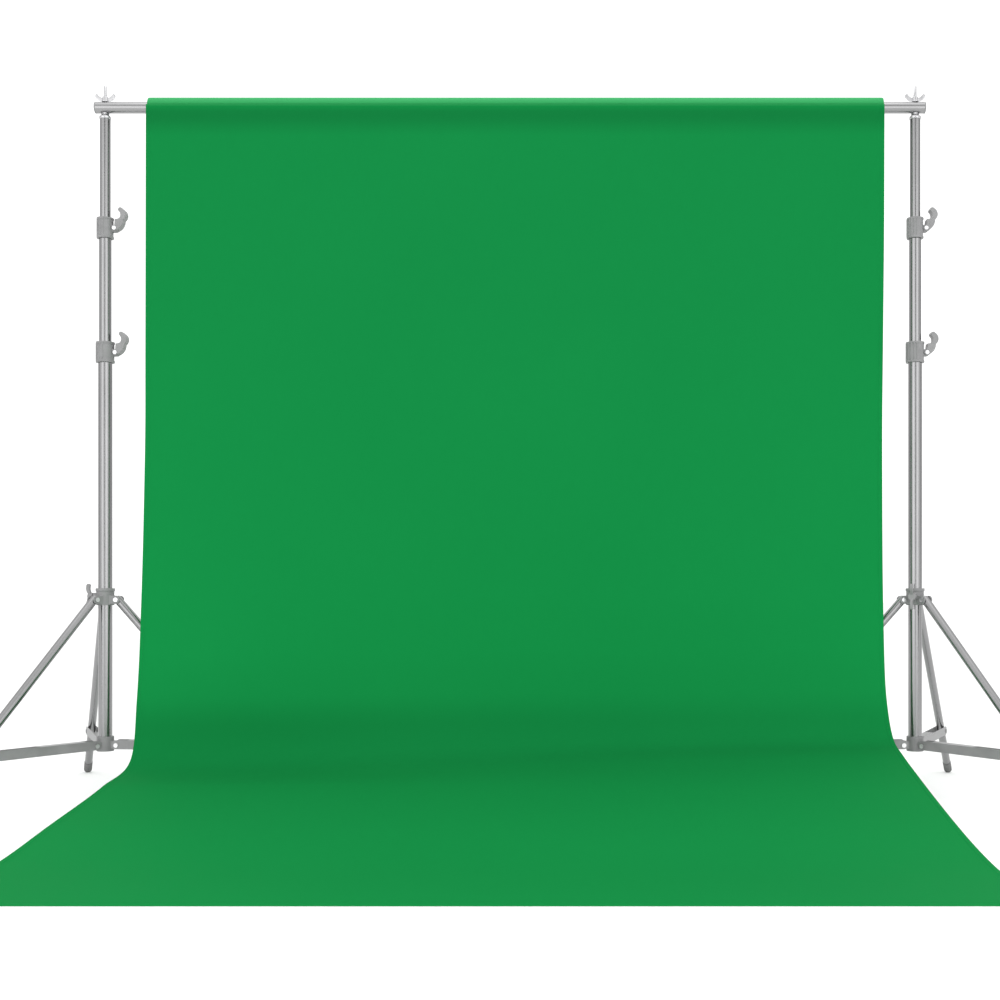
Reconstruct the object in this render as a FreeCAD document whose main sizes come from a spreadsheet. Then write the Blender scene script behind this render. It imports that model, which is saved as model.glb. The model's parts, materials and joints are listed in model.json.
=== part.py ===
import FreeCAD, Part
import math
import os
import re
from FreeCAD import Placement, Rotation, Vector

# A background support system: two light stands, a sectional crossbar and a hanging fabric drop.
# Frame: millimetres, +Z up, +X along the crossbar, -Y towards the viewer of the drop.
# Origin: on the floor, in the middle of the space that the whole set-up covers.

DRIVING_SIZES = {
    # the set-up
    "stand_offset": 986,        # stand axis to the middle of the crossbar
    "bar_setback": 364.9,       # crossbar behind the origin
    "bar_height": 1674,
    # crossbar
    "bar_radius": 13.5,
    "bar_wall": 1.2,
    "bar_half": 1007,
    "bar_sections": 4,
    "joiner_half": 45,
    "cap_flange": 3,
    "cap_plug": 9,
    "stud_hole": 4.3,
    # telescoping tubes of a stand
    "lower_radius": 16.5,
    "middle_radius": 14.5,
    "upper_radius": 12.5,
    "tube_wall": 1.5,
    "lower_bottom": 112,
    "lower_top": 1095,
    "middle_top": 1397,
    "middle_length": 880,
    "upper_top": 1646,
    "upper_length": 900,
    # quick clamps at the tube ends
    "clamp_height": 50,
    "clamp_wall": 4.5,
    "clamp_lip": 2,
    "bush_height": 6,
    "pin_rise": 24,
    "pin_radius": 3,
    "ear_radius": 8,
    "ear_half": 8,
    "ear_overlap": 2,
    "rim_step": 1.2,
    "rim_height": 4.5,
    "split_half": 1,
    "split_depth": 12,
    "pin_head": 4.6,
    "bush_play": 0.2,
    "lever_hub": 7,
    "lever_half": 11,
    # tripod
    "fold_angle": 42,
    "pivot_reach": 32,
    "spreader_pivot": 476,
    "spreader_bottom": 463,
    "spreader_top": 504,
    "spreader_rim_step": 1.6,
    "spreader_rim_height": 7,
    "base_pivot": 123,
    "base_bottom": 108,
    "base_top": 144,
    "base_wall": 4,
    "lug_radius": 9,
    "lug_half": 9.9,
    "screw_height": 484,
    "screw_radius": 3,
    "screw_length": 20,
    "boss_radius": 9,
    "boss_start": 15,
    "boss_end": 29,
    "grip_radius": 9,
    "grip_start": 30,
    "grip_length": 12,
    "grip_width": 6,
    "leg_radius": 10,
    "leg_wall": 1.2,
    "foot_radius": 10.7,
    "foot_flat": 1,
    "foot_sleeve": 30,
    "foot_floor": 4,
    "foot_plug": 22,
    "rivet_radius": 3,
    "rivet_head": 5.5,
    "rivet_head_height": 1.8,
    "brace_gap": 11.3,
    "brace_wall": 1.5,
    "brace_below": 9.5,
    "brace_above": 12.5,
    "web_start": 28,
    "web_end": 150,
    "ear_inside": 10.6,
    "ear_wall": 3.4,
    "ear_end": 10,
    # stud and nut at the top of each stand
    "stud_socket": 26,
    "stud_flange_step": 1.5,
    "stud_flange_height": 6,
    "stud_neck_radius": 9.5,
    "stud_radius": 4,
    "stud_tip_radius": 3.5,
    "stud_tip_start": 1706,
    "stud_top": 1727,
    "stud_chamfer": 1,
    "nut_bore": 4.06,
    "nut_flange_radius": 8,
    "nut_flange_height": 3,
    "nut_radius": 6.5,
    "nut_height": 12,
    "nut_wing": 3,
    # fit between pieces
    "slide_gap": 0.3,
    "pin_gap": 0.07,
    "seat_gap": 0.02,
    # fabric drop
    "drop_left": -877,
    "drop_right": 905,
    "drop_thick": 2.4,
    "pocket_radius": 24.5,
    "pocket_inside": 14,
    "drop_corner_reach": 76,
    "drop_corner_height": 100,
    "drop_corner_round": 90,
    "drop_touch_reach": 840,
    "drop_touch_round": 1500,
    "drop_hem_reach": 1150,
    "drop_split_height": 300,
}

# leg directions about each stand's axis, in degrees from +X, and the side that its spreader knob faces
SIDES = {
    "left": {"sign": -1, "legs": (-5, -125, 115), "knob": 175},
    "right": {"sign": 1, "legs": (185, -55, 65), "knob": -115},
}

doc = FreeCAD.newDocument("background_support")
sheet = doc.addObject("Spreadsheet::Sheet", "Sizes")
for row, (alias, value) in enumerate(DRIVING_SIZES.items(), start=1):
    sheet.set(f"A{row}", alias)
    sheet.set(f"B{row}", str(value))
    sheet.setAlias(f"B{row}", alias)
doc.recompute()

nodes = []

AXIS_X, AXIS_Y, AXIS_Z = Vector(1, 0, 0), Vector(0, 1, 0), Vector(0, 0, 1)
ALONG_X = (AXIS_Y, 90)      # turns a cylinder's +Z axis to +X
ALONG_Y = (AXIS_X, -90)     # turns a cylinder's +Z axis to +Y
OVER = 1                    # how far a cutting tool runs past the face it cuts
PAST = 60                   # a cutting tool's length where it only has to run out of the solid
INSIDE = 10                 # where a block starts that is buried in a round body


# ---------------------------------------------------------------- shared helpers

def size(alias):
    """A driving dimension, read back from the sheet."""
    return float(sheet.get(alias))


def bound(formula):
    """A formula over the sheet's aliases, as FreeCAD writes it."""
    return re.sub(r"[a-z]+(?:_[a-z]+)+", lambda word: "Sizes." + word.group(), str(formula))


def at(x=0, y=0, z=0, turn=None):
    """A placement at a point, turned by (axis, degrees)."""
    return Placement(Vector(x, y, z), Rotation(*turn) if turn else Rotation())


def primitive(kind, x, y, z, turn, **formulas):
    """A Part primitive whose sizes and position are bound to the sheet."""
    item = doc.addObject("Part::" + kind, kind)
    for name, formula in formulas.items():
        item.setExpression(name, bound(formula))
    item.Placement = at(turn=turn)
    for name, formula in (("x", x), ("y", y), ("z", z)):
        item.setExpression("Placement.Base." + name, bound(formula))
    return item


def cylinder(radius, height, x=0, y=0, z=0, turn=None):
    return primitive("Cylinder", x, y, z, turn, Radius=radius, Height=height)


def across(radius, half, x=0, z=0):
    """A cylinder along Y through (x, z), reaching half to each side."""
    return cylinder(radius, f"2 * ({half})", x, f"-({half})", z, ALONG_Y)


def box(x_low, x_high, y_half, z_low, z_high):
    """A block centred on Y, between two X and two Z limits."""
    return primitive("Box", x_low, f"-({y_half})", z_low, None, Length=f"({x_high}) - ({x_low})",
                     Width=f"2 * ({y_half})", Height=f"({z_high}) - ({z_low})")


def fuse(*items):
    joined = doc.addObject("Part::MultiFuse", "Fuse")
    joined.Shapes = list(items)
    return joined


def cut(base, *tools):
    result = doc.addObject("Part::Cut", "Cut")
    result.Base = base
    result.Tool = tools[0] if len(tools) == 1 else fuse(*tools)
    return result


def common(first, second):
    result = doc.addObject("Part::Common", "Common")
    result.Base, result.Tool = first, second
    return result


def moved(item, place):
    """The item as one member of an outer group, shifted by a placement."""
    group = doc.addObject("Part::Compound", "Moved")
    group.Links = [item]
    group.Placement = place
    return group


def group(items):
    """Separate solids kept side by side in one node."""
    together = doc.addObject("Part::Compound", "Group")
    together.Links = list(items)
    return together


def tube(outer, wall, z_low, z_high):
    return cut(cylinder(outer, f"({z_high}) - ({z_low})", z=z_low),
               cylinder(f"({outer}) - ({wall})", f"({z_high}) - ({z_low}) + {2 * OVER}",
                        z=f"({z_low}) - {OVER}"))


def node(label, item, place=None):
    """Makes an item a sub-part: its label names its file."""
    item.Label = label
    item.Placement = (place or Placement()).multiply(item.Placement)
    nodes.append(item)


def profile_body(label, edges, plane, width, place):
    """A Body padded to both sides of a closed outline drawn on one of its own planes."""
    body = doc.addObject("PartDesign::Body", label + "_body")
    sketch = body.newObject("Sketcher::SketchObject", label + "_outline")
    origin_plane = [item for item in body.Origin.OriginFeatures if item.Role == plane][0]
    sketch.AttachmentSupport = [(origin_plane, "")]
    sketch.MapMode = "FlatFace"
    sketch.addGeometry(edges, False)
    pad = body.newObject("PartDesign::Pad", label + "_pad")
    pad.Profile = sketch
    pad.Midplane = True
    pad.setExpression("Length", bound(width))
    body.Placement = place
    return body


def flat(x, y):
    return Vector(x, y, 0)


def arc(start, middle, end):
    """A sketch arc through three points."""
    return Part.Arc(flat(*start), flat(*middle), flat(*end))


def line(start, end):
    return Part.LineSegment(flat(*start), flat(*end))


# ---------------------------------------------------------------- where each stand stands

BAR_Y = size("bar_setback")
FOLD = size("fold_angle")
LEG_TO_BRACE = (size("spreader_pivot") - size("base_pivot")) / math.cos(math.radians(FOLD))
BRACE_LENGTH = LEG_TO_BRACE * math.sin(math.radians(FOLD))
FOOT_RISE = size("foot_radius") - size("foot_flat")
LEG_LENGTH = (size("spreader_pivot") - FOOT_RISE) / math.cos(math.radians(FOLD))


def on_stand(side, azimuth=0, reach=0, height=0, lean=0):
    """A placement on a stand: out along an azimuth, up, and leaned outward."""
    foot = at(SIDES[side]["sign"] * size("stand_offset"), BAR_Y, 0)
    turned = at(turn=(AXIS_Z, azimuth))
    return foot.multiply(turned).multiply(at(reach, 0, height, (AXIS_Y, -lean)))


# ---------------------------------------------------------------- masts

def masts(side):
    place = on_stand(side)
    node(side + "_lower_tube", tube("lower_radius", "tube_wall", "lower_bottom", "lower_top"), place)
    middle = tube("middle_radius", "tube_wall", "middle_top - middle_length", "middle_top")
    node(side + "_middle_tube", middle, place)
    upper = tube("upper_radius", "tube_wall", "upper_top - upper_length", "upper_top")
    node(side + "_upper_tube", upper, place)


def clamp(side, level, outer, inner, tube_top):
    """A quick clamp on a tube's end: sleeve with a lip, a split ear, a bush, a pin and a flip lever."""
    bottom = f"{tube_top} + bush_height + clamp_lip - clamp_height"
    top = f"{tube_top} + bush_height + clamp_lip"
    sleeve = f"{outer} + clamp_wall"
    pin_x = f"{sleeve} + ear_radius - ear_overlap"
    pin_z = f"{bottom} + pin_rise"
    rim = f"{sleeve} + rim_step"
    body = fuse(
        cylinder(sleeve, "clamp_height", z=bottom),
        cylinder(rim, "rim_height", z=f"{top} - rim_height"),
        cylinder(rim, "rim_height", z=bottom),
        box(INSIDE, pin_x, "ear_half", f"{pin_z} - ear_radius", f"{pin_z} + ear_radius"),
        across("ear_radius", "ear_half", pin_x, pin_z),
    )
    body = cut(body,
               cylinder(f"{outer} + seat_gap", "clamp_height - clamp_lip", z=bottom),
               cylinder(f"{inner} + slide_gap", f"clamp_height + {2 * OVER}", z=f"{bottom} - {OVER}"),
               across("pin_radius + seat_gap", f"ear_half + {OVER}", pin_x, pin_z),
               box(f"{inner} - {OVER}", f"{pin_x} + {PAST}", "split_half", f"{pin_z} - split_depth",
                   f"{top} + {OVER}"))
    node(f"{side}_{level}_clamp", body, on_stand(side))
    bush = cut(cylinder(outer, "bush_height - 2 * bush_play", z=f"{tube_top} + bush_play"),
               cylinder(f"{inner} + bush_play", f"bush_height + {2 * OVER}", z=f"{tube_top} - {OVER}"))
    pin = rivet(pin_x, pin_z, "lever_half", "pin_radius", "pin_head")
    return bush, pin


def lever(side, level, outer, tube_top):
    """A flip lever: a forked hub on the ear's pin and a curved paddle that hooks in at its tip."""
    label = f"{side}_{level}_lever"
    pin_x = size(outer) + size("clamp_wall") + size("ear_radius") - size("ear_overlap")
    pin_z = size(tube_top) + size("bush_height") + size("clamp_lip") - size("clamp_height") + size("pin_rise")
    hub_low, shoulder, crown = (4.5, -5), (21.5, 20), (19, 48)
    tip, throat, cheek, hub_high = (9.5, 42.5), (12.5, 25), (1.5, 22), (0, 6.5)
    outline = [
        arc(hub_low, (17, 5), shoulder),
        arc(shoulder, (27.5, 36), crown),
        arc(crown, (11, 49), tip),
        arc(tip, (14.5, 34), throat),
        arc(throat, (8, 22.5), cheek),
        line(cheek, hub_high),
        line(hub_high, hub_low),
    ]
    arm = profile_body(label, outline, "XZ_Plane", "2 * lever_half", Placement())
    whole = fuse(arm, across("lever_hub", "lever_half"))
    whole = cut(whole, across("ear_radius + 2 * slide_gap", "ear_half + slide_gap"),
                across("pin_radius + pin_gap", f"lever_half + {OVER}"))
    node(label, whole, on_stand(side, 0, pin_x, pin_z))


def stud(side):
    """The fitting in the top tube's mouth, with the threaded stud that the crossbar drops over."""
    parts = fuse(
        cylinder("upper_radius - tube_wall - seat_gap", "stud_socket", z="upper_top - stud_socket"),
        cylinder("upper_radius + stud_flange_step", "stud_flange_height", z="upper_top"),
        cylinder("stud_neck_radius", "bar_height - bar_radius - upper_top - slide_gap", z="upper_top"),
        cylinder("stud_radius", "stud_tip_start - upper_top", z="upper_top"),
        cylinder("stud_tip_radius", "stud_top - stud_tip_start - stud_chamfer", z="stud_tip_start"),
        primitive("Cone", 0, 0, "stud_top - stud_chamfer", None, Radius1="stud_tip_radius",
                  Radius2="stud_tip_radius - stud_chamfer", Height="stud_chamfer"),
    )
    node(side + "_top_stud", parts, on_stand(side))


def wing_nut(side):
    """A nut with two wings that spread up and out."""
    base = "bar_height + bar_radius + slide_gap"
    height = size("bar_height") + size("bar_radius") + size("slide_gap")
    root_low, outside, tip, root_high = (5, 2), (22, 9), (19.5, 20), (4, 9)
    outline = [
        arc(root_low, (14, 2.5), outside),
        arc(outside, (24.5, 16), tip),
        arc(tip, (12, 12.5), root_high),
        line(root_high, root_low),
    ]
    wings = []
    for turn in (0, 180):
        place = at(0, 0, height, (AXIS_Z, turn))
        wings.append(profile_body(f"{side}_wing_{turn}", outline, "XZ_Plane", "nut_wing", place))
    hub = fuse(cylinder("nut_flange_radius", "nut_flange_height", z=base),
               cylinder("nut_radius", "nut_height", z=base), *wings)
    node(side + "_wing_nut", cut(hub, cylinder("nut_bore", PAST, z=f"{base} - {OVER}")), on_stand(side))


# ---------------------------------------------------------------- tripod

def spreader(side):
    """The sliding collar that the legs hang from, with three pairs of ears and a boss for its lock knob."""
    sleeve = "lower_radius + clamp_wall"
    ring = [cylinder(sleeve, "spreader_top - spreader_bottom", z="spreader_bottom"),
            cylinder(sleeve + " + spreader_rim_step", "spreader_rim_height",
                     z="spreader_top - spreader_rim_height")]
    ear_outside = "ear_inside + ear_wall"
    ears, rivets = [], []
    for azimuth in SIDES[side]["legs"]:
        turn = at(turn=(AXIS_Z, azimuth))
        block = fuse(box(INSIDE, "pivot_reach", ear_outside, "spreader_pivot - ear_end",
                         "spreader_pivot + ear_end"),
                     across("ear_end", ear_outside, "pivot_reach", "spreader_pivot"))
        slot = box(sleeve, f"pivot_reach + {PAST}", "ear_inside", f"spreader_pivot - {PAST}",
                   f"spreader_pivot + {PAST}")
        hole = across("rivet_radius + seat_gap", f"{ear_outside} + {OVER}", "pivot_reach", "spreader_pivot")
        ears.append(moved(cut(block, slot, hole), turn))
        rivets.append(moved(rivet("pivot_reach", "spreader_pivot", ear_outside), turn))
    knob_turn = at(turn=(AXIS_Z, SIDES[side]["knob"]))
    boss = cylinder("boss_radius", "boss_end - boss_start", x="boss_start", z="screw_height", turn=ALONG_X)
    screw_hole = cylinder("screw_radius + pin_gap", PAST, z="screw_height", turn=ALONG_X)
    body = cut(fuse(*ring, *ears, moved(boss, knob_turn)),
               cylinder("lower_radius + slide_gap", PAST, z=f"spreader_bottom - {OVER}"),
               moved(screw_hole, knob_turn))
    node(side + "_spreader", body, on_stand(side))
    node(side + "_spreader_rivets", group(rivets), on_stand(side))


def rivet(x, z, half, shank="rivet_radius", head="rivet_head"):
    """A through rivet along Y, with a flat round head at each end."""
    heads = cut(across(head, f"{half} + rivet_head_height", x, z), across(f"{head} + {OVER}", half, x, z))
    return fuse(across(shank, f"{half} + pin_gap", x, z), heads)


def spreader_knob(side):
    """A screw with two broad wings that locks the spreader on the tube."""
    grip = [cylinder("grip_radius", "grip_length", x="grip_start", turn=ALONG_X)]
    root_in, tip_in, tip_out, root_out = (33, 6), (37, 27), (47, 27), (42, 5)
    outline = [
        arc(root_in, (38, 18), tip_in),
        arc(tip_in, (42, 31), tip_out),
        arc(tip_out, (47, 14), root_out),
        line(root_out, root_in),
    ]
    for turn in (0, 180):
        place = at(turn=(AXIS_X, turn))
        grip.append(profile_body(f"{side}_knob_{turn}", outline, "XZ_Plane", "grip_width", place))
    screw = cylinder("screw_radius", "screw_length", x="lower_radius + 2 * slide_gap", turn=ALONG_X)
    whole = fuse(screw, *grip)
    node(side + "_spreader_knob", whole, on_stand(side, SIDES[side]["knob"], 0, size("screw_height")))


def leg(side, number, azimuth):
    """A round tube with a pierced, rounded top end."""
    place = on_stand(side, azimuth, size("pivot_reach"), size("spreader_pivot"), FOLD)
    length = LEG_LENGTH - size("foot_floor")
    tall = f"{length} + leg_radius + {2 * OVER}"
    pipe = cut(cylinder("leg_radius", tall, z=-length),
               cylinder("leg_radius - leg_wall", f"{tall} + {2 * OVER}", z=-length - OVER))
    wide = f"leg_radius + {OVER}"
    rounding = fuse(box(f"-({wide})", wide, wide, -length - OVER, 0),
                    across("leg_radius", wide))
    pipe = cut(common(pipe, rounding), across("rivet_radius + pin_gap", wide))
    node(f"{side}_leg_{number}", pipe, place)

    ball = primitive("Sphere", 0, 0, -LEG_LENGTH, None, Radius="foot_radius")
    plug = cylinder("leg_radius - leg_wall - seat_gap", "foot_plug", z=-LEG_LENGTH)
    foot = cut(fuse(ball, cylinder("foot_radius", "foot_sleeve", z=-LEG_LENGTH)),
               cylinder("leg_radius + seat_gap", PAST, z=f"{-LEG_LENGTH} + foot_floor"))
    foot = fuse(foot, plug)
    ground = box(-PAST, PAST, PAST, -PAST - FOOT_RISE, -FOOT_RISE)
    foot = cut(foot, moved(ground, at(0, 0, -LEG_LENGTH, (AXIS_Y, FOLD))))
    node(f"{side}_foot_{number}", foot, place)


def brace(side, number, azimuth):
    """A forked channel: closed above near the mast, open beyond so that the leg can nest in it."""
    outside = "brace_gap + brace_wall"
    middle = "(brace_above - brace_below) / 2"
    round_end = "(brace_above + brace_below) / 2"
    outer = fuse(box(0, BRACE_LENGTH, outside, "-brace_below", "brace_above"),
                 across(round_end, outside, 0, middle), across(round_end, outside, BRACE_LENGTH, middle))
    far = BRACE_LENGTH + PAST
    channel = cut(outer,
                  box(-PAST, far, "brace_gap", -PAST, "brace_above - brace_wall"),
                  box(-PAST, "web_start", "brace_gap", -PAST, PAST),
                  box("web_end", far, "brace_gap", -PAST, PAST),
                  across("rivet_radius + pin_gap", PAST),
                  across("rivet_radius + seat_gap", PAST, BRACE_LENGTH, 0))
    stubs = cut(rivet(BRACE_LENGTH, 0, outside),
                across(f"rivet_head + {OVER}", "brace_gap + pin_gap", BRACE_LENGTH, 0))
    node(f"{side}_brace_{number}", group([channel, stubs]),
         on_stand(side, azimuth, size("pivot_reach"), size("base_pivot")))


def base_collar(side):
    """The fixed collar at the foot of the mast, with one lug for each brace."""
    parts = [cylinder("lower_radius + base_wall", "base_top - base_bottom", z="base_bottom")]
    holes, rivets = [], []
    for azimuth in SIDES[side]["legs"]:
        turn = at(turn=(AXIS_Z, azimuth))
        lug = fuse(box(INSIDE, "pivot_reach", "lug_half", "base_pivot - lug_radius",
                       "base_pivot + lug_radius"),
                   across("lug_radius", "lug_half", "pivot_reach", "base_pivot"))
        parts.append(moved(lug, turn))
        holes.append(moved(across("rivet_radius + seat_gap", PAST, "pivot_reach", "base_pivot"), turn))
        rivets.append(moved(rivet("pivot_reach", "base_pivot", "brace_gap + brace_wall + slide_gap"), turn))
    seat = cylinder("lower_radius + seat_gap", PAST, z="lower_bottom - seat_gap")
    node(side + "_base_collar", cut(fuse(*parts), seat, *holes), on_stand(side))
    return rivets


# ---------------------------------------------------------------- crossbar

def crossbar():
    """Equal tube lengths on one line, joined by inner sleeves and closed by end caps."""
    count = int(size("bar_sections"))
    step = 2 * size("bar_half") / count
    place = at(0, BAR_Y, size("bar_height"))
    for index in range(count):
        start = -size("bar_half") + index * step
        pipe = cut(cylinder("bar_radius", step, x=start, turn=ALONG_X),
                   cylinder("bar_radius - bar_wall", step + 2 * OVER, x=start - OVER, turn=ALONG_X))
        if index in (0, count - 1):
            side = -1 if index == 0 else 1
            pipe = cut(pipe, cylinder("stud_hole", PAST, x=f"{side} * stand_offset", z=-PAST / 2))
        node(f"bar_section_{index + 1}", pipe, place)
    sleeves = []
    for index in range(1, count):
        seam = -size("bar_half") + index * step
        outer = cylinder("bar_radius - bar_wall - seat_gap", "2 * joiner_half", x=f"{seam} - joiner_half",
                         turn=ALONG_X)
        inner = cylinder("bar_radius - 2 * bar_wall", f"2 * joiner_half + {2 * OVER}",
                         x=f"{seam} - joiner_half - {OVER}",
                         turn=ALONG_X)
        sleeves.append(cut(outer, inner))
    node("bar_joiners", group(sleeves), place)
    caps = []
    for turn in (0, 180):
        disc = cylinder("bar_radius", "cap_flange", x="bar_half", turn=ALONG_X)
        plug = cylinder("bar_radius - bar_wall - seat_gap", f"cap_plug + {OVER}", x="bar_half - cap_plug",
                        turn=ALONG_X)
        caps.append(moved(fuse(disc, plug), at(turn=(AXIS_Z, turn))))
    node("bar_end_caps", group(caps), place)


# ---------------------------------------------------------------- fabric drop

def drop_pocket():
    """The rolled top edge of the fabric, around the crossbar."""
    length = "drop_right - drop_left"
    roll = cut(cylinder("pocket_radius", length, x="drop_left", turn=ALONG_X),
               cylinder("pocket_inside", f"{length} + {2 * OVER}", x=f"drop_left - {OVER}", turn=ALONG_X))
    node("drop_pocket", roll, at(0, BAR_Y, size("bar_height")))


def rounded_path(corners, radii):
    """Straight runs joined by tangent arcs, as edges in the YZ plane."""
    points = [Vector(0, y, z) for y, z in corners]
    edges, start = [], points[0]
    for before, corner, after, radius in zip(points, points[1:], points[2:], radii):
        to_before, to_after = (before - corner).normalize(), (after - corner).normalize()
        half = to_before.getAngle(to_after) / 2
        trim = radius / math.tan(half)
        first, last = corner + to_before * trim, corner + to_after * trim
        middle = corner + (to_before + to_after).normalize() * (radius / math.sin(half) - radius)
        edges += [Part.LineSegment(start, first).toShape(), Part.Arc(first, middle, last).toShape()]
        start = last
    edges.append(Part.LineSegment(start, points[-1]).toShape())
    return edges


def shifted(corners, gap):
    """The corners of a parallel path, moved towards the fabric's front and upper side."""
    points = [Vector(0, y, z) for y, z in corners]
    runs = [(after - before).normalize() for before, after in zip(points, points[1:])]
    sides = [Vector(0, run.z, -run.y) for run in runs]
    moved_points = [points[0] + sides[0] * gap]
    for point, before, after in zip(points[1:], sides, sides[1:]):
        moved_points.append(point + (before + after) * (gap / (1 + before.dot(after))))
    moved_points.append(points[-1] + sides[-1] * gap)
    return [(point.y, point.z) for point in moved_points]


def drop_solid(label, corners, radii):
    """A sheet of the drop's thickness along a path, from its left edge to its right edge."""
    lift = size("drop_thick") / 2
    upper, lower = shifted(corners, lift), shifted(corners, -lift)
    edges = rounded_path(upper, [radius - lift for radius in radii])
    edges += rounded_path(lower, [radius + lift for radius in radii])
    for ends in ((upper[0], lower[0]), (upper[-1], lower[-1])):
        edges.append(Part.LineSegment(*[Vector(0, y, z) for y, z in ends]).toShape())
    profile = Part.Face(Part.Wire(Part.__sortEdges__(edges)))
    width = size("drop_right") - size("drop_left")
    sheet_of_cloth = doc.addObject("Part::Feature", label)
    sheet_of_cloth.Shape = profile.extrude(Vector(width, 0, 0))
    node(label, sheet_of_cloth, at(size("drop_left"), BAR_Y, 0))


def drop_sheets():
    """The hanging length, and the sweep on to the floor as far as the hem."""
    lift = size("drop_thick") / 2
    top = (-(size("pocket_radius") + size("slide_gap") + lift), size("bar_height"))
    corner = (-size("drop_corner_reach"), size("drop_corner_height"))
    share = (top[1] - size("drop_split_height")) / (top[1] - corner[1])
    split = (top[0] + share * (corner[0] - top[0]), size("drop_split_height"))
    touch = (-size("drop_touch_reach"), lift)
    hem = (-size("drop_hem_reach"), lift)
    drop_solid("drop_fall", [top, split], [])
    drop_solid("drop_sweep", [split, corner, touch, hem],
               [size("drop_corner_round"), size("drop_touch_round")])


# ---------------------------------------------------------------- the whole system

def build():
    shared_rivets, shared_bushes, shared_pins = [], [], []
    for side in SIDES:
        place = on_stand(side)
        masts(side)
        bush, pin = clamp(side, "lower", "lower_radius", "middle_radius", "lower_top")
        shared_bushes.append(moved(bush, place))
        shared_pins.append(moved(pin, place))
        bush, pin = clamp(side, "upper", "middle_radius", "upper_radius", "middle_top")
        node(side + "_upper_bush", bush, place)
        node(side + "_upper_pin", pin, place)
        lever(side, "lower", "lower_radius", "lower_top")
        lever(side, "upper", "middle_radius", "middle_top")
        stud(side)
        wing_nut(side)
        spreader(side)
        spreader_knob(side)
        for number, azimuth in enumerate(SIDES[side]["legs"], start=1):
            leg(side, number, azimuth)
            brace(side, number, azimuth)
        shared_rivets += [moved(item, place) for item in base_collar(side)]
    node("base_rivets", group(shared_rivets))
    node("lower_bushes", group(shared_bushes))
    node("lower_pins", group(shared_pins))
    crossbar()
    drop_pocket()
    drop_sheets()
    doc.recompute()


def check_and_write():
    for item in doc.Objects:
        if "Invalid" in item.State or "Error" in item.State:
            raise RuntimeError(f"{item.Label} failed to build: {item.State}")
    for item in nodes:
        shape = item.Shape
        if shape.isNull() or not shape.isValid() or not shape.Solids:
            raise RuntimeError(f"{item.Label} has no valid solid")
    os.makedirs("parts", exist_ok=True)
    whole = FreeCAD.BoundBox()
    for item in nodes:
        item.Shape.exportStep(f"parts/{item.Label}.step")
        whole.add(item.Shape.BoundBox)
    print(len(nodes), "nodes, box", whole)


build()
check_and_write()
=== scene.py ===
import json
import math

import bmesh
import bpy
import numpy as np
from mathutils import Matrix, Vector


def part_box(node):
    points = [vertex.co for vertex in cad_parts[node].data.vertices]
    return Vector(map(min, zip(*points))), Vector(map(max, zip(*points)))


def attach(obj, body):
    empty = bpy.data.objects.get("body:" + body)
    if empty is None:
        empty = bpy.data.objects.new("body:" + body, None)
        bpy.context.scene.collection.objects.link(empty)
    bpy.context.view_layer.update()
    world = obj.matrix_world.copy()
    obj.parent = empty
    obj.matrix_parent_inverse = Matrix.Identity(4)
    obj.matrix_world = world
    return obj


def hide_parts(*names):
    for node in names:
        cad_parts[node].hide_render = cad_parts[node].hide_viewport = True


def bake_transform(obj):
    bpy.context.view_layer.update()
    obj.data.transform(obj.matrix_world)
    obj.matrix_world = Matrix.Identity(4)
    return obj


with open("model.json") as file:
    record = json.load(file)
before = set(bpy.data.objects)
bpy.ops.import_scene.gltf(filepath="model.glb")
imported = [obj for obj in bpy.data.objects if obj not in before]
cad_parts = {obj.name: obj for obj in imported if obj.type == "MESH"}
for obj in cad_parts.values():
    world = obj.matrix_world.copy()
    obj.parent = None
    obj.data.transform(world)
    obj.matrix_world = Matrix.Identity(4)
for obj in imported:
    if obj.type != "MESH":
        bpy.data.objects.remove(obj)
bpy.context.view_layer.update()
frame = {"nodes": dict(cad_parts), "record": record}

# ---------------------------------------------------------------- places, from the frame

BAR_LOW, BAR_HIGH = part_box("bar_section_1")
BAR_Y = (BAR_LOW.y + BAR_HIGH.y) / 2
BAR_Z = (BAR_LOW.z + BAR_HIGH.z) / 2
ROLL_LOW, ROLL_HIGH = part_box("drop_pocket")
ROLL_RADIUS = (ROLL_HIGH.z - ROLL_LOW.z) / 2
SWEEP_LOW, SWEEP_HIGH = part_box("drop_sweep")
DROP_LEFT, DROP_RIGHT = ROLL_LOW.x, ROLL_HIGH.x
HEM_REACH = BAR_Y - SWEEP_LOW.y
BODY_OF = {node: body for body, nodes in frame["record"]["behaviour"]["bodies"].items() for node in nodes}
SLOT_OF = {row["node"]: row["material_slot"] for row in frame["record"]["subparts"]}


# ---------------------------------------------------------------- mesh helpers

def mesh_object(name, vertices, faces):
    mesh = bpy.data.meshes.new(name)
    mesh.from_pydata([tuple(v) for v in vertices], [], [tuple(f) for f in faces])
    mesh.update()
    obj = bpy.data.objects.new(name, mesh)
    bpy.context.scene.collection.objects.link(obj)
    mesh.polygons.foreach_set("use_smooth", [True] * len(mesh.polygons))
    return obj


# ---------------------------------------------------------------- node helpers

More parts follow.
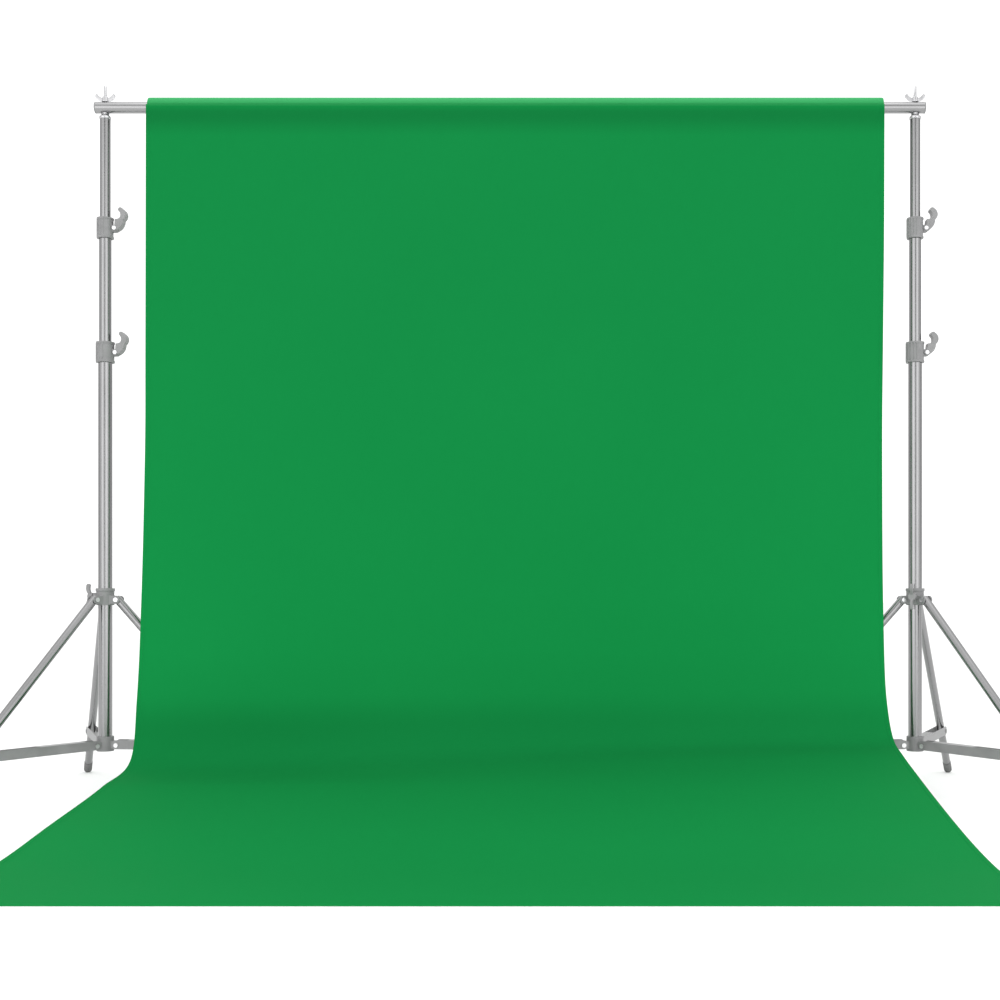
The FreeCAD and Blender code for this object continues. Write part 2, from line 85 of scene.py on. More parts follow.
class Nodes:
    """A material's node tree, with short ways to add and join nodes."""

    def __init__(self, name):
        self.material = bpy.data.materials.new(name)
        self.material.use_nodes = True
        self.tree = self.material.node_tree
        self.shader = self.tree.nodes["Principled BSDF"]

    def add(self, kind, settings=None, **inputs):
        node = self.tree.nodes.new("ShaderNode" + kind)
        for key, value in (settings or {}).items():
            setattr(node, key, value)
        for key, value in inputs.items():
            self.put(node, key.replace("_", " "), value)
        return node

    def put(self, node, key, value):
        socket = node.inputs[int(key)] if key.isdigit() else node.inputs[key]
        if isinstance(value, bpy.types.NodeSocket):
            self.tree.links.new(value, socket)
        else:
            socket.default_value = value

    def math(self, operation, first, second=0.0):
        node = self.add("Math", {"operation": operation})
        self.put(node, "0", first)
        self.put(node, "1", second)
        return node.outputs[0]

    def ramp(self, factor, stops):
        node = self.add("ValToRGB")
        self.tree.links.new(factor, node.inputs["Fac"])
        elements = node.color_ramp.elements
        while len(elements) < len(stops):
            elements.new(0.5)
        for element, (place, colour) in zip(elements, stops):
            element.position = place
            element.color = (*colour, 1.0)
        return node.outputs["Color"]

    def noise(self, scale, detail=2.0, stretch=(1, 1, 1), vector=None):
        if vector is None:
            vector = self.add("TexCoord").outputs["Object"]
        mapping = self.add("Mapping", Scale=stretch)
        self.tree.links.new(vector, mapping.inputs["Vector"])
        node = self.add("TexNoise", Scale=scale, Detail=detail)
        self.tree.links.new(mapping.outputs[0], node.inputs["Vector"])
        return node.outputs["Fac"]

    def bump(self, height, strength, distance):
        node = self.add("Bump", Strength=strength, Distance=distance)
        self.tree.links.new(height, node.inputs["Height"])
        self.tree.links.new(node.outputs[0], self.shader.inputs["Normal"])

    def set(self, **inputs):
        for key, value in inputs.items():
            self.put(self.shader, key.replace("_", " "), value)


def shade(colour, factor):
    return tuple(c * factor for c in colour)


def tube_metal(name, colour, roughness, along):
    """Drawn and anodised tube: fine streaks along its length and a slow drift in tone."""
    n = Nodes(name)
    stretch = [1.0, 1.0, 1.0]
    stretch["XYZ".index(along)] = 0.01
    streaks = n.noise(900, 3, tuple(stretch))
    drift = n.noise(6, 2)
    tone = n.math("ADD", n.math("MULTIPLY", streaks, 0.6), n.math("MULTIPLY", drift, 0.4))
    n.set(Base_Color=n.ramp(tone, [(0.3, shade(colour, 0.88)), (0.7, shade(colour, 1.08))]))
    rough = n.math("ADD", n.math("MULTIPLY", streaks, 0.14), roughness - 0.07)
    n.set(Roughness=rough, Metallic=1.0)
    n.bump(streaks, 0.06, 0.0004)
    return n.material


def coated_metal(name, colour, roughness):
    """Powder-coated steel: fine orange peel with small rubbed patches."""
    n = Nodes(name)
    peel = n.noise(900, 2)
    rubbed = n.noise(25, 4)
    n.set(Base_Color=n.ramp(rubbed, [(0.35, shade(colour, 0.92)), (0.7, shade(colour, 1.07))]))
    n.set(Roughness=n.math("ADD", n.math("MULTIPLY", rubbed, 0.2), roughness - 0.1), Metallic=0.25,
          Specular_IOR_Level=0.5)
    n.bump(peel, 0.2, 0.0002)
    return n.material


def moulded_plastic(name, colour, roughness):
    """Spark-eroded moulding grain with slightly polished high spots."""
    n = Nodes(name)
    grain = n.noise(1800, 4)
    wear = n.noise(40, 3)
    n.set(Base_Color=n.ramp(wear, [(0.35, shade(colour, 0.92)), (0.65, shade(colour, 1.06))]))
    n.set(Roughness=n.math("ADD", n.math("MULTIPLY", wear, 0.16), roughness - 0.08), Specular_IOR_Level=0.45)
    n.bump(grain, 0.25, 0.0002)
    return n.material


def bright_steel(name, colour, roughness):
    n = Nodes(name)
    scratches = n.noise(700, 4, (1, 1, 0.1))
    n.set(Base_Color=n.ramp(scratches, [(0.3, shade(colour, 0.9)), (0.7, shade(colour, 1.05))]))
    n.set(Roughness=n.math("ADD", n.math("MULTIPLY", scratches, 0.15), roughness - 0.07), Metallic=1.0)
    n.bump(scratches, 0.08, 0.0002)
    return n.material


def rubber(name, colour):
    n = Nodes(name)
    dust = n.noise(120, 5)
    n.set(Base_Color=n.ramp(dust, [(0.35, shade(colour, 0.85)), (0.7, shade(colour, 1.2))]))
    n.set(Roughness=n.math("ADD", n.math("MULTIPLY", dust, 0.2), 0.6))
    n.bump(n.noise(2500, 3), 0.3, 0.0002)
    return n.material


# Shading painted into the cloth's colour, since the lights alone leave it too even: metres from where it
# leaves the roll, and level.
CLOTH_TONE = [(-0.02, 1.01), (-0.002, 1.03), (0.005, 0.83), (0.020, 0.66), (0.040, 0.71), (0.075, 0.87),
              (0.47, 0.895), (0.95, 0.98), (1.19, 1.03), (1.32, 1.05), (1.42, 0.99), (1.49, 0.845),
              (1.57, 0.79), (1.66, 0.88), (1.85, 0.96), (2.15, 1.0), (2.6, 1.03)]
# A painted highlight on the crown of the roll: paler green added where light from above would fall, over the
# same distance.
ROLL_HIGHLIGHT_TONE = [(-0.058, 0.0), (-0.040, 0.2), (-0.027, 0.3), (-0.0157, 0.95), (-0.010, 0.8), (-0.005, 0.28),
              (-0.001, 0.0)]
TONE_START, TONE_SPAN = 0.1, 3.0
# Colour of the painted highlight on the roll, scaled by the levels above.
ROLL_HIGHLIGHT_COLOUR = (0.07, 0.16, 0.10)
THREAD_PITCH = 0.0009


def green_cloth(name):
    """Plain-woven polyester: warp and weft follow the cloth, with slubs and a slow drift in tone."""
    n = Nodes(name)
    place = n.add("UVMap", {"uv_map": "cloth"}).outputs["UV"]
    split = n.add("SeparateXYZ")
    n.tree.links.new(place, split.inputs[0])
    across, along = split.outputs[0], split.outputs[1]
    threads = 2 * math.pi / THREAD_PITCH
    warp = n.math("SINE", n.math("MULTIPLY", across, threads))
    weft = n.math("SINE", n.math("MULTIPLY", along, threads))
    weave = n.math("MULTIPLY", warp, weft)
    slubs = n.noise(160, 4, (1, 0.12, 1), place)
    drift = n.noise(2.2, 2, (1, 1, 1), place)
    tone = n.math("ADD", n.math("MULTIPLY", slubs, 0.35), n.math("MULTIPLY", drift, 0.65))
    base = n.ramp(tone, [(0.3, (0.0038, 0.216, 0.0475)), (0.7, (0.0044, 0.224, 0.0495))])
    share = n.math("DIVIDE", n.math("ADD", along, TONE_START), TONE_SPAN)
    painted = n.ramp(share, [((v + TONE_START) / TONE_SPAN, (t, t, t)) for v, t in CLOTH_TONE])
    shaded = n.add("Mix", {"data_type": "RGBA", "blend_type": "MULTIPLY"}, Factor=1.0)
    n.tree.links.new(base, shaded.inputs[6])
    n.tree.links.new(painted, shaded.inputs[7])
    # Painted highlight on the top of the roll, added over the painted shade.
    painted_highlight = n.ramp(share, [((v + TONE_START) / TONE_SPAN, shade(ROLL_HIGHLIGHT_COLOUR, t)) for v, t in ROLL_HIGHLIGHT_TONE])
    highlighted = n.add("Mix", {"data_type": "RGBA", "blend_type": "ADD"}, Factor=1.0)
    n.tree.links.new(shaded.outputs[2], highlighted.inputs[6])
    n.tree.links.new(painted_highlight, highlighted.inputs[7])
    n.set(Base_Color=highlighted.outputs[2], Roughness=0.9, Specular_IOR_Level=0.06)
    height = n.math("ADD", n.math("MULTIPLY", weave, 0.5), slubs)
    n.bump(height, 0.25, 0.0002)
    return n.material


def polyester_thread(name, colour):
    n = Nodes(name)
    twist = n.noise(1500, 2, (1, 1, 0.3))
    n.set(Base_Color=n.ramp(twist, [(0.3, shade(colour, 0.85)), (0.7, shade(colour, 1.1))]), Roughness=0.6,
          Specular_IOR_Level=0.2)
    return n.material


MATERIALS = {
    "green_thread": polyester_thread("green_thread", (0.007, 0.25, 0.06)),
    "mast_tube": tube_metal("mast_aluminium", (0.29, 0.29, 0.293), 0.22, "Z"),
    "leg_tube": tube_metal("leg_aluminium", (0.29, 0.29, 0.293), 0.24, "Z"),
    "bar_tube": tube_metal("bar_aluminium", (0.32, 0.32, 0.323), 0.22, "X"),
    "brace_metal": coated_metal("brace_steel", (0.27, 0.27, 0.273), 0.42),
    "clamp_plastic": moulded_plastic("clamp_plastic", (0.24, 0.24, 0.243), 0.5),
    "lever_plastic": moulded_plastic("lever_plastic", (0.25, 0.25, 0.253), 0.45),
    "rivet_steel": bright_steel("rivet_steel", (0.75, 0.75, 0.76), 0.3),
    "stud_steel": bright_steel("stud_steel", (0.58, 0.58, 0.59), 0.28),
    "bush_plastic": moulded_plastic("bush_plastic", (0.10, 0.10, 0.10), 0.5),
    "foot_rubber": rubber("foot_rubber", (0.16, 0.16, 0.16)),
    "green_fabric": green_cloth("green_cloth"),
}


# ---------------------------------------------------------------- the cloth's path

# Points of the cloth down its left and right edges: reach in front of the crossbar, height above the floor.
TOP = (ROLL_RADIUS + 0.001, BAR_Z)
LEFT_EDGE = [TOP, (0.034, 1.10), (0.045, 0.49), (0.074, 0.237), (0.118, 0.104), (0.316, 0.066), (0.60, 0.030),
             (0.84, 0.004), (HEM_REACH, 0.0016)]
RIGHT_EDGE = [TOP, (0.032, 1.10), (0.041, 0.49), (0.062, 0.237), (0.105, 0.150), (0.19, 0.118), (0.60, 0.040),
              (0.86, 0.004), (HEM_REACH, 0.0016)]
# How far each side edge strays from a straight line, down the cloth: share of its length, metres in X.
LEFT_STRAY = [(0.0, -0.002), (0.30, 0.0), (0.365, -0.003), (0.457, -0.007), (0.557, -0.009), (0.62, -0.007),
              (0.674, -0.005), (0.76, -0.011), (0.835, -0.014), (1.0, -0.012)]
RIGHT_STRAY = [(0.0, 0.001), (0.12, -0.001), (0.30, -0.007), (0.46, -0.0065), (0.535, -0.004), (0.563, -0.002),
               (0.595, 0.005), (0.66, 0.010), (0.80, 0.009), (0.87, 0.012), (1.0, 0.008)]
ROWS = 420
SPLIT_HEIGHT = 0.86      # where the cloth is made in two pieces
LIE = 0.0002             # the lowest that the cloth's underside comes to the floor
SIDE_FOLD = 0.0105       # width of the folded side edges
HEM_FOLD = 0.021         # and of the hem
HALF_THICK = 0.0004      # half the cloth's thickness
HALF_FOLDED = 0.0009     # and where it is folded


def smooth_path(points, count):
    """A centripetal Catmull-Rom curve through the points, as count points evenly spaced along it."""
    p = np.array(points, float)
    p = np.vstack([2 * p[0] - p[1], p, 2 * p[-1] - p[-2]])
    knots = np.concatenate([[0], np.cumsum(np.sqrt(np.linalg.norm(np.diff(p, axis=0), axis=1)))])
    curve = []
    for i in range(1, len(p) - 2):
        t = np.linspace(knots[i], knots[i + 1], 120, endpoint=False)[:, None]
        k0, k1, k2, k3 = knots[i - 1:i + 3]
        a1 = (k1 - t) / (k1 - k0) * p[i - 1] + (t - k0) / (k1 - k0) * p[i]
        a2 = (k2 - t) / (k2 - k1) * p[i] + (t - k1) / (k2 - k1) * p[i + 1]
        a3 = (k3 - t) / (k3 - k2) * p[i + 1] + (t - k2) / (k3 - k2) * p[i + 2]
        b1 = (k2 - t) / (k2 - k0) * a1 + (t - k0) / (k2 - k0) * a2
        b2 = (k3 - t) / (k3 - k1) * a2 + (t - k1) / (k3 - k1) * a3
        curve.append((k2 - t) / (k2 - k1) * b1 + (t - k1) / (k2 - k1) * b2)
    curve = np.vstack(curve + [p[-2][None]])
    lengths = np.concatenate([[0], np.cumsum(np.linalg.norm(np.diff(curve, axis=0), axis=1))])
    wanted = np.linspace(0, lengths[-1], count)
    return np.stack([np.interp(wanted, lengths, curve[:, k]) for k in (0, 1)], axis=1), lengths[-1]


def ease(x):
    x = np.clip(x, 0, 1)
    return x * x * (3 - 2 * x)


EDGE_STEPS = [0.0, 0.0008, 0.004, 0.0080, 0.010, 0.0112, 0.0125, 0.016]
SEAM = 0.0080            # stitch line, in from a side edge
HEM_SEAM = 0.018         # and up from the hem
PITCH = 0.0042           # from one stitch to the next
STITCH_RISE = 0.0010     # from the middle of the cloth to a stitch's thread
STITCH = (0.0016, 0.00032, 0.0003)     # half its length, width and height
WIDTH = DROP_RIGHT - DROP_LEFT
FAR_STEPS = [WIDTH - s for s in reversed(EDGE_STEPS)]
COLUMNS = np.array(EDGE_STEPS + list(np.linspace(0.03, WIDTH - 0.03, 170)) + FAR_STEPS)
LEFT_PATH, LEFT_LENGTH = smooth_path(LEFT_EDGE, ROWS)
RIGHT_PATH, RIGHT_LENGTH = smooth_path(RIGHT_EDGE, ROWS)
CLOTH_LENGTH = (LEFT_LENGTH + RIGHT_LENGTH) / 2


def cloth_surface():
    """The middle of the cloth as rows by columns of points, with its front normal."""
    share = ease(COLUMNS / WIDTH)[None, :, None]
    flat = LEFT_PATH[:, None, :] * (1 - share) + RIGHT_PATH[:, None, :] * share
    down_share = np.linspace(0, 1, ROWS)
    left, right = [np.interp(down_share, *zip(*stray)) for stray in (LEFT_STRAY, RIGHT_STRAY)]
    left, right = [np.convolve(np.pad(side, 12, "edge"), np.ones(25) / 25, "valid") for side in (left, right)]
    across = COLUMNS[None, :] / WIDTH
    x = DROP_LEFT + COLUMNS[None, :] + left[:, None] * (1 - across) + right[:, None] * across
    points = np.stack([x, BAR_Y - flat[..., 0], flat[..., 1]], axis=-1)
    down = np.gradient(points, axis=0)
    sideways = np.gradient(points, axis=1)
    normals = np.cross(sideways, down)
    normals /= -np.linalg.norm(normals, axis=-1, keepdims=True)
    return points, normals


def cloth_ripples(points):
    """Slow soft waves: upright ones where it hangs, fading at the roll and on the floor."""
    height = points[..., 2]
    hang = ease((BAR_Z - height) / 0.5) * ease((height - 0.02) / 0.25)
    x = points[..., 0]
    waves = np.sin(x * 9.1 + 0.7 * height) + 0.6 * np.sin(x * 17.3 + 1.9 * height + 1.0)
    waves += 0.4 * np.sin(x * 29.0 - 1.3 * height + 2.0)
    return 0.0012 * hang * waves


def cloth_part(name, first, last):
    """The rows from first to last of the cloth, as a closed sheet with folded and stitched edges."""
    points, normals = cloth_surface()
    points = points + normals * cloth_ripples(points)[..., None]
    along = np.linspace(0, CLOTH_LENGTH, ROWS)
    edge = np.minimum(COLUMNS, WIDTH - COLUMNS)
    folded = (edge < SIDE_FOLD)[None, :] | ((CLOTH_LENGTH - along) < HEM_FOLD)[:, None]
    half = np.where(folded, HALF_FOLDED, HALF_THICK)
    points, normals, half = points[first:last], normals[first:last], half[first:last]
    rows, columns = points.shape[:2]
    front, back = points + normals * half[..., None], points - normals * half[..., None]
    back[..., 2] = np.maximum(back[..., 2], LIE)
    vertices = np.concatenate([front.reshape(-1, 3), back.reshape(-1, 3)])
    grid = np.arange(rows * columns).reshape(rows, columns)
    under = grid + rows * columns
    faces = []
    a, b, c, d = grid[:-1, :-1], grid[:-1, 1:], grid[1:, 1:], grid[1:, :-1]
    faces += np.stack([d, c, b, a], -1).reshape(-1, 4).tolist()
    a, b, c, d = under[:-1, :-1], under[:-1, 1:], under[1:, 1:], under[1:, :-1]
    faces += np.stack([a, b, c, d], -1).reshape(-1, 4).tolist()
    ring = np.concatenate([grid[0, :-1], grid[:-1, -1], grid[-1, :0:-1], grid[:0:-1, 0]])
    following = np.roll(ring, -1)
    for one, two in zip(ring, following):
        faces.append([one, two, two + rows * columns, one + rows * columns])
    cloth = mesh_object(name, vertices, faces)
    sharpen(cloth, set(ring.tolist()) | set((ring + rows * columns).tolist()), rows * columns)
    u = np.broadcast_to(COLUMNS[None, :], (rows, columns)).reshape(-1)
    v = np.broadcast_to(along[first:last, None], (rows, columns)).reshape(-1)
    lay_out(cloth, np.concatenate([u, u]), np.concatenate([v, v]))
    return cloth


def sharpen(obj, rim, per_side):
    """Keeps the cut edges of a closed sheet crisp, so that its two faces shade as flat cloth."""
    mesh = obj.data
    ends = np.zeros(2 * len(mesh.edges), int)
    mesh.edges.foreach_get("vertices", ends)
    ends = ends.reshape(-1, 2)
    on_rim = np.zeros(len(mesh.vertices), bool)
    on_rim[list(rim)] = True
    same_side = (ends[:, 0] < per_side) == (ends[:, 1] < per_side)
    crisp = on_rim[ends[:, 0]] & on_rim[ends[:, 1]] & same_side
    layer = mesh.attributes.new("sharp_edge", "BOOLEAN", "EDGE")
    layer.data.foreach_set("value", crisp)


def lay_out(obj, u, v):
    """Gives the piece its place on the flat cloth, in metres, as a UV map."""
    layer = obj.data.uv_layers.new(name="cloth")
    corners = np.zeros(len(obj.data.loops), int)
    obj.data.loops.foreach_get("vertex_index", corners)
    layer.data.foreach_set("uv", np.stack([u[corners], v[corners]], -1).reshape(-1))


def stitches(name, first, last):
    """The lockstitch along the folded side edges and the hem, as separate raised threads."""
    points, normals = cloth_surface()
    points = points + normals * (cloth_ripples(points) + STITCH_RISE)[..., None]
    along = np.linspace(0, CLOTH_LENGTH, ROWS)
    low, high = along[first], along[last - 1]
    lines = []
    for seam in (SEAM, WIDTH - SEAM):
        column = int(np.argmin(np.abs(COLUMNS - seam)))
        stops = np.arange(low + PITCH, min(high, CLOTH_LENGTH - HEM_SEAM), PITCH)
        lines.append([np.stack([np.interp(stops, along, grid[:, column, k]) for k in range(3)], -1)
                      for grid in (points, normals)])
    if last == ROWS:
        row = int(np.argmin(np.abs(along - (CLOTH_LENGTH - HEM_SEAM))))
        stops = np.arange(SEAM, WIDTH - SEAM, PITCH)
        lines.append([np.stack([np.interp(stops, COLUMNS, grid[row, :, k]) for k in range(3)], -1)
                      for grid in (points, normals)])
    vertices, faces = [], []
    for places, ups in lines:
        ways = np.gradient(places, axis=0)
        for place, up, way in zip(places, ups, ways / np.linalg.norm(ways, axis=-1, keepdims=True)):
            n = len(vertices)
            for direction, half in zip((way, np.cross(way, up), up), STITCH):
                vertices += [place - direction * half, place + direction * half]
            for a, b in ((3, 5), (5, 2), (2, 4), (4, 3)):
                faces += [(n, n + a, n + b), (n + 1, n + b, n + a)]
    threads = mesh_object(name, vertices, faces)
    threads.data.materials.append(MATERIALS["green_thread"])
    return threads


def split_row():
    points, _ = cloth_surface()
    middle = points[:, len(COLUMNS) // 2, 2]
    return int(np.argmin(np.abs(middle - SPLIT_HEIGHT)))


def make_drop():
    row = split_row()
    upper = cloth_part("drop_upper_cloth", 0, row + 1)
    lower = cloth_part("drop_lower_cloth", row, ROWS)
    for piece in (upper, lower):
        piece.data.materials.append(MATERIALS["green_fabric"])
    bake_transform(upper)
    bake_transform(lower)
    upper_thread = stitches("drop_upper_stitches", 0, row + 1)
    lower_thread = stitches("drop_lower_stitches", row, ROWS)
    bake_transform(upper_thread)
    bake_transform(lower_thread)
    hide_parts("drop_fall")
    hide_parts("drop_sweep")


def make_roll():
    """The cloth's top end, rolled loosely round the crossbar."""
    turns, thick = 2.25, 0.0008
    count, columns_inside = 150, 40
    angle = np.linspace(0, turns * 2 * math.pi, count)
    start, end = ROLL_RADIUS - thick / 2 - 0.0001, 0.0147
    radius = start + (end - start) * (angle / angle[-1])
    columns = np.concatenate([[0, 0.001, 0.003], np.linspace(0.02, WIDTH - 0.02, columns_inside),
                              [WIDTH - 0.003, WIDTH - 0.001, WIDTH]])
    vertices, faces = [], []
    for offset in (thick / 2, -thick / 2):
        r = radius + offset
        for a, rr in zip(angle, r):
            slip = 0.0012 * math.sin(a * 1.7)
            for c in columns:
                inset = slip + 0.0015
                x = DROP_LEFT + np.clip(c, inset, WIDTH - inset) if a > 1.0 else DROP_LEFT + c
                vertices.append((x, BAR_Y - rr * math.cos(a), BAR_Z + rr * math.sin(a)))
    n = len(columns)
    for i in range(count - 1):
        for j in range(n - 1):
            a = i * n + j
            faces.append((a, a + 1, a + n + 1, a + n))
            b = a + count * n
            faces.append((b, b + n, b + n + 1, b + 1))
    for i in range(count - 1):
        for j in (0, n - 1):
            a, b = i * n + j, (i + 1) * n + j
            side = (a, b, b + count * n, a + count * n)
            faces.append(side if j == 0 else side[:1] + side[:0:-1])
    last = (count - 1) * n
    for j in range(n - 1):
        faces.append((last + j, last + j + 1, last + j + 1 + count * n, last + j + count * n))
        faces.append((j, j + count * n, j + 1 + count * n, j + 1))
    roll = mesh_object("drop_roll", vertices, faces)
    length = float(np.sum(np.hypot(np.diff(radius), radius[:-1] * np.diff(angle))))
    u = np.tile(np.tile(columns, count), 2)
    v = np.tile(-np.repeat(np.linspace(0, length, count), n), 2)
    lay_out(roll, u, v)
    roll.data.materials.append(MATERIALS["green_fabric"])
    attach(roll, "left_upper")
    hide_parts("drop_pocket")


make_drop()
make_roll()


# ---------------------------------------------------------------- moulded castings

SCREW_COVERED = 0.0292     # from a stand's axis, how far the lock screw lies inside the spreader's boss
SCREW_EASE = 0.8           # how thick that stretch is left, as a share of its CAD thickness


def shell_of(node):
    """A CAD node's surface as one welded mesh in the frame's own coordinates."""
    source = frame["nodes"][node]
    surface = bmesh.new()
    surface.from_mesh(source.data)
    surface.transform(source.matrix_world)
    bmesh.ops.remove_doubles(surface, verts=surface.verts, dist=1e-6)
    return surface


def add_block(surface, centre, size, turn=None):
    """Adds a closed block to the surface, to be melted into it."""
    place = Matrix.Translation(centre) @ (turn or Matrix.Identity(4)) @ Matrix.Diagonal((*size, 1.0))
    bmesh.ops.create_cube(surface, size=1.0, matrix=place)


def moulded(node, voxel, rounds, keep, details=None, ease_fit=None):
    """Stands for a CAD casting: the same shape with moulded ribs melted in and its edges rounded off."""
    surface = shell_of(node)
    if details:
        details(surface)
    mesh = bpy.data.meshes.new("moulded_" + node)
    surface.to_mesh(mesh)
    surface.free()
    rough = bpy.data.objects.new("rough_" + node, mesh)
    bpy.context.scene.collection.objects.link(rough)
    remesh = rough.modifiers.new("remesh", "REMESH")
    remesh.mode = "VOXEL"
    remesh.voxel_size = voxel
    relax = rough.modifiers.new("relax", "SMOOTH")
    relax.factor, relax.iterations = 0.5, rounds
    thin = rough.modifiers.new("thin", "DECIMATE")
    thin.ratio = keep
    shaped = bpy.data.meshes.new_from_object(rough.evaluated_get(bpy.context.evaluated_depsgraph_get()))
    bpy.data.objects.remove(rough)
    if ease_fit:
        ease_fit(shaped)
    piece = bpy.data.objects.new("moulded_" + node, shaped)
    bpy.context.scene.collection.objects.link(piece)
    shaped.polygons.foreach_set("use_smooth", [True] * len(shaped.polygons))
    shaped.materials.clear()
    shaped.materials.append(MATERIALS[SLOT_OF[node]])
    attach(piece, BODY_OF[node])
    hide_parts(node)


def stand_axis(side):
    low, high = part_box(side + "_lower_tube")
    return (low.x + high.x) / 2


def sleeve_ribs(side, node, angles):
    """Upright ribs round the outside of a sleeve."""
    def melt(surface):
        low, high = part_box(node)
        axis = stand_axis(side)
        radius = (high.y - low.y) / 2 - 0.0016
        for angle in angles:
            turn = Matrix.Rotation(math.radians(angle), 4, "Z")
            centre = Vector((axis, BAR_Y, (low.z + high.z) / 2)) + turn @ Vector((radius, 0, 0))
            add_block(surface, centre, (0.004, 0.0022, (high.z - low.z) - 0.006), turn)
    return melt


def lever_grip(node):
    """Cross ribs for the thumb on the outside of a lever's paddle."""
    def melt(surface):
        low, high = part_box(node)
        for step in range(4):
            height = high.z - 0.026 + step * 0.005
            reach = high.x - 0.0011 - 0.00002 * (step - 1.5) ** 2 / 0.01
            add_block(surface, (reach, BAR_Y, height), (0.0022, 0.017, 0.0018))
    return melt


def slim_screw(side):
    """Thins the covered end of the lock knob's screw, so that it turns clear of the rounded spreader."""
    def ease(mesh):
        low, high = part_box(side + "_spreader_knob")
        axis = Vector((stand_axis(side), BAR_Y, (low.z + high.z) / 2))
        centre = (low + high) / 2
        way = Vector((centre.x - axis.x, centre.y - axis.y, 0)).normalized()
        for vertex in mesh.vertices:
            along = (vertex.co - axis).dot(way)
            if along < SCREW_COVERED:
                foot = axis + way * along
                vertex.co = foot + (vertex.co - foot) * SCREW_EASE
    return ease


def make_castings():
    for side in ("left", "right"):
        for level in ("lower", "upper"):
            clamp = f"{side}_{level}_clamp"
            moulded(clamp, 0.0006, 3, 0.25, sleeve_ribs(side, clamp, range(90, 271, 20)))
            moulded(f"{side}_{level}_lever", 0.0006, 4, 0.3, lever_grip(f"{side}_{level}_lever"))
        moulded(side + "_spreader", 0.0007, 3, 0.25)
        moulded(side + "_base_collar", 0.0007, 3, 0.25)
        moulded(side + "_spreader_knob", 0.0006, 3, 0.3, ease_fit=slim_screw(side))
        moulded(side + "_wing_nut", 0.0004, 3, 0.3)
        for number in (1, 2, 3):
            moulded(f"{side}_foot_{number}", 0.0006, 3, 0.3)


make_castings()


# ---------------------------------------------------------------- threaded studs

THREAD_LEAD = 0.00125
THREAD_DEPTH = 0.00055


def lathe(name, profile, centre, span):
    """A turned piece from (radius, height) steps, with a screw thread cut over a span of heights."""
    around = 48
    vertices, faces = [], []
    for radius, height in profile:
        for k in range(around):
            angle = 2 * math.pi * k / around
            r = radius
            if span[0] <= height <= span[1]:
                wave = (height / THREAD_LEAD - k / around) % 1.0
                r = radius - THREAD_DEPTH * abs(2 * wave - 1)
            vertices.append((centre[0] + r * math.cos(angle), centre[1] + r * math.sin(angle), height))
    count = len(profile)
    for i in range(count - 1):
        for k in range(around):
            a, b = i * around + k, i * around + (k + 1) % around
            faces.append((a, b, b + around, a + around))
    faces.append(tuple(range(around - 1, -1, -1)))
    faces.append(tuple(range((count - 1) * around, count * around)))
    return mesh_object(name, vertices, faces)


def make_studs():
    for side in ("left", "right"):
        node = side + "_top_stud"
        low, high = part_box(node)
        flange = low.z + 0.026
        neck_top = BAR_LOW.z - 0.0003
        tip = high.z - 0.021
        profile = [(0.0110, low.z), (0.0110, flange), (0.0136, flange), (0.0140, flange + 0.0005),
                   (0.0140, flange + 0.0052), (0.0133, flange + 0.0060), (0.0095, flange + 0.0062),
                   (0.0095, neck_top - 0.0006), (0.0090, neck_top), (0.0040, neck_top)]
        steps = int((tip - neck_top) / 0.0002)
        profile += [(0.0040, neck_top + (tip - neck_top) * i / steps) for i in range(1, steps)]
        profile += [(0.0036, tip), (0.0035, tip + 0.0004), (0.0035, high.z - 0.0012), (0.0030, high.z - 0.0004),
                    (0.0023, high.z)]
        stud = lathe(side + "_threaded_stud", profile, (stand_axis(side), BAR_Y),
                     (neck_top + 0.0002, tip - 0.0002))
        stud.data.materials.append(MATERIALS["stud_steel"])
        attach(stud, BODY_OF[node])
        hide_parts(node)


make_studs()


# ---------------------------------------------------------------- finish of the carried-over nodes

def finish_nodes():
    for name, obj in frame["nodes"].items():
        obj.data.materials.clear()
        obj.data.materials.append(MATERIALS[SLOT_OF[name]])


finish_nodes()


# ---------------------------------------------------------------- stage, light and camera

CAMERA_DISTANCE = 3.3
CAMERA_PLACE = (0.170, BAR_Y - CAMERA_DISTANCE, 0.507)
FRAME_WIDTH_AT_BAR = 2.4355
SENSOR = 36.0


def make_stage():
    size = 40.0
    floor = mesh_object("stage_floor", [(-size, -size, 0), (size, -size, 0), (size, size, 0), (-size, size, 0)],
                        [(0, 1, 2, 3)])
    n = Nodes("stage_paper")
    speckle = n.noise(3, 2)
    n.set(Base_Color=n.ramp(speckle, [(0.3, (0.95, 0.95, 0.95)), (0.7, (0.98, 0.98, 0.98))]), Roughness=1.0,
          Specular_IOR_Level=0.0, Emission_Color=(1.0, 1.0, 1.0, 1.0), Emission_Strength=0.03)
    floor.data.materials.append(n.material)


def area_light(name, place, target, size, power):
    light = bpy.data.lights.new(name, "AREA")
    light.shape = "RECTANGLE"
    light.size, light.size_y = size
    light.energy = power
    obj = bpy.data.objects.new(name, light)
    obj.location = place
    obj.rotation_euler = (Vector(target) - Vector(place)).to_track_quat("-Z", "Y").to_euler()
    bpy.context.scene.collection.objects.link(obj)


# Brightness of the studio round the object: share of a half turn from straight in front, and level.
SURROUND = [(0.0, 0.55), (0.07, 0.55), (0.14, 1.25), (0.42, 1.25), (0.50, 0.72), (0.80, 0.72), (0.86, 1.25),
            (1.0, 1.25)]
CEILING = 1.3


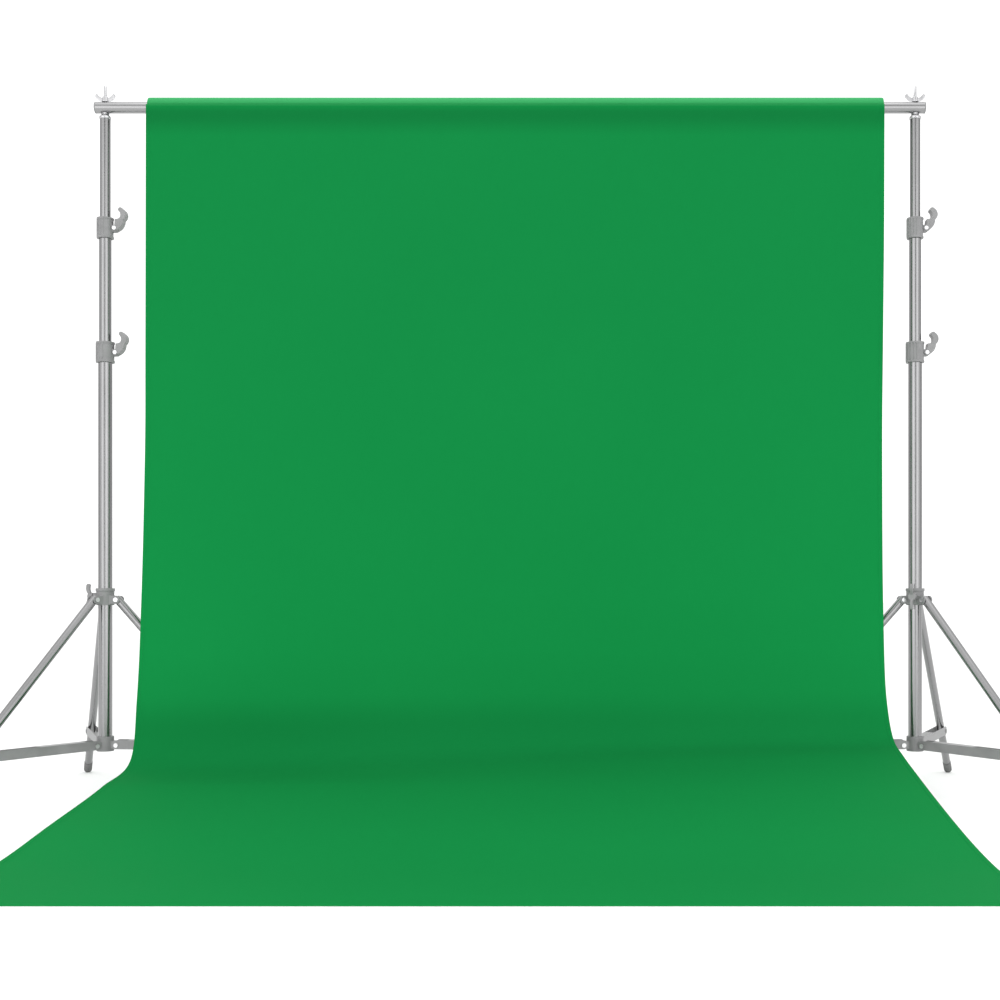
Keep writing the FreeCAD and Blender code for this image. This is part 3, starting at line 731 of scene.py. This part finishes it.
def make_world():
    """White banks of light to either side of the front, dark flags between them, white paper behind."""
    world = bpy.data.worlds.new("studio")
    bpy.context.scene.world = world
    world.use_nodes = True
    tree = world.node_tree
    place = tree.nodes.new("ShaderNodeTexCoord")
    split = tree.nodes.new("ShaderNodeSeparateXYZ")
    tree.links.new(place.outputs["Generated"], split.inputs[0])

    def calculate(operation, *values):
        node = tree.nodes.new("ShaderNodeMath")
        node.operation = operation
        for socket, value in zip(node.inputs, values):
            if isinstance(value, bpy.types.NodeSocket):
                tree.links.new(value, socket)
            else:
                socket.default_value = value
        return node.outputs[0]

    turn = calculate("ARCTAN2", split.outputs[0], calculate("MULTIPLY", split.outputs[1], -1.0))
    share = calculate("MULTIPLY", calculate("ABSOLUTE", turn), 1 / math.pi)
    ramp = tree.nodes.new("ShaderNodeValToRGB")
    tree.links.new(share, ramp.inputs["Fac"])
    elements = ramp.color_ramp.elements
    while len(elements) < len(SURROUND):
        elements.new(0.5)
    for element, (where, level) in zip(elements, SURROUND):
        element.position = where
        element.color = (level, level, level, 1.0)
    height = calculate("ABSOLUTE", split.outputs[2])
    lift = tree.nodes.new("ShaderNodeMapRange")
    lift.interpolation_type = "SMOOTHSTEP"
    for key, value in (("From Min", 0.45), ("From Max", 0.85)):
        lift.inputs[key].default_value = value
    tree.links.new(height, lift.inputs["Value"])
    mix = tree.nodes.new("ShaderNodeMix")
    mix.data_type = "RGBA"
    tree.links.new(lift.outputs[0], mix.inputs["Factor"])
    tree.links.new(ramp.outputs["Color"], mix.inputs[6])
    mix.inputs[7].default_value = (CEILING, CEILING, CEILING, 1.0)
    tree.links.new(mix.outputs[2], tree.nodes["Background"].inputs["Color"])


def make_lights():
    make_world()
    area_light("key", (-2.8, -4.8, 1.5), (0, BAR_Y, 0.8), (4.6, 3.6), 62)
    area_light("fill", (3.0, -4.8, 1.5), (0, BAR_Y, 0.8), (4.6, 3.6), 62)
    area_light("top", (0, -0.6, 4.2), (0, -0.2, 0), (4.0, 2.5), 22)
    area_light("edge", (0, BAR_Y - 0.10, BAR_Z + 0.6), (0, BAR_Y - 0.02, BAR_Z), (2.2, 0.2), 1.0)


def make_camera():
    data = bpy.data.cameras.new("camera")
    data.sensor_width = SENSOR
    data.lens = SENSOR * CAMERA_DISTANCE / FRAME_WIDTH_AT_BAR
    data.shift_x, data.shift_y = -0.08, 0.087
    camera = bpy.data.objects.new("camera", data)
    camera.location = CAMERA_PLACE
    camera.rotation_euler = (math.pi / 2, 0, 0)
    bpy.context.scene.collection.objects.link(camera)
    bpy.context.scene.camera = camera


make_stage()
make_lights()
make_camera()
bpy.context.scene.view_settings.view_transform = "Standard"
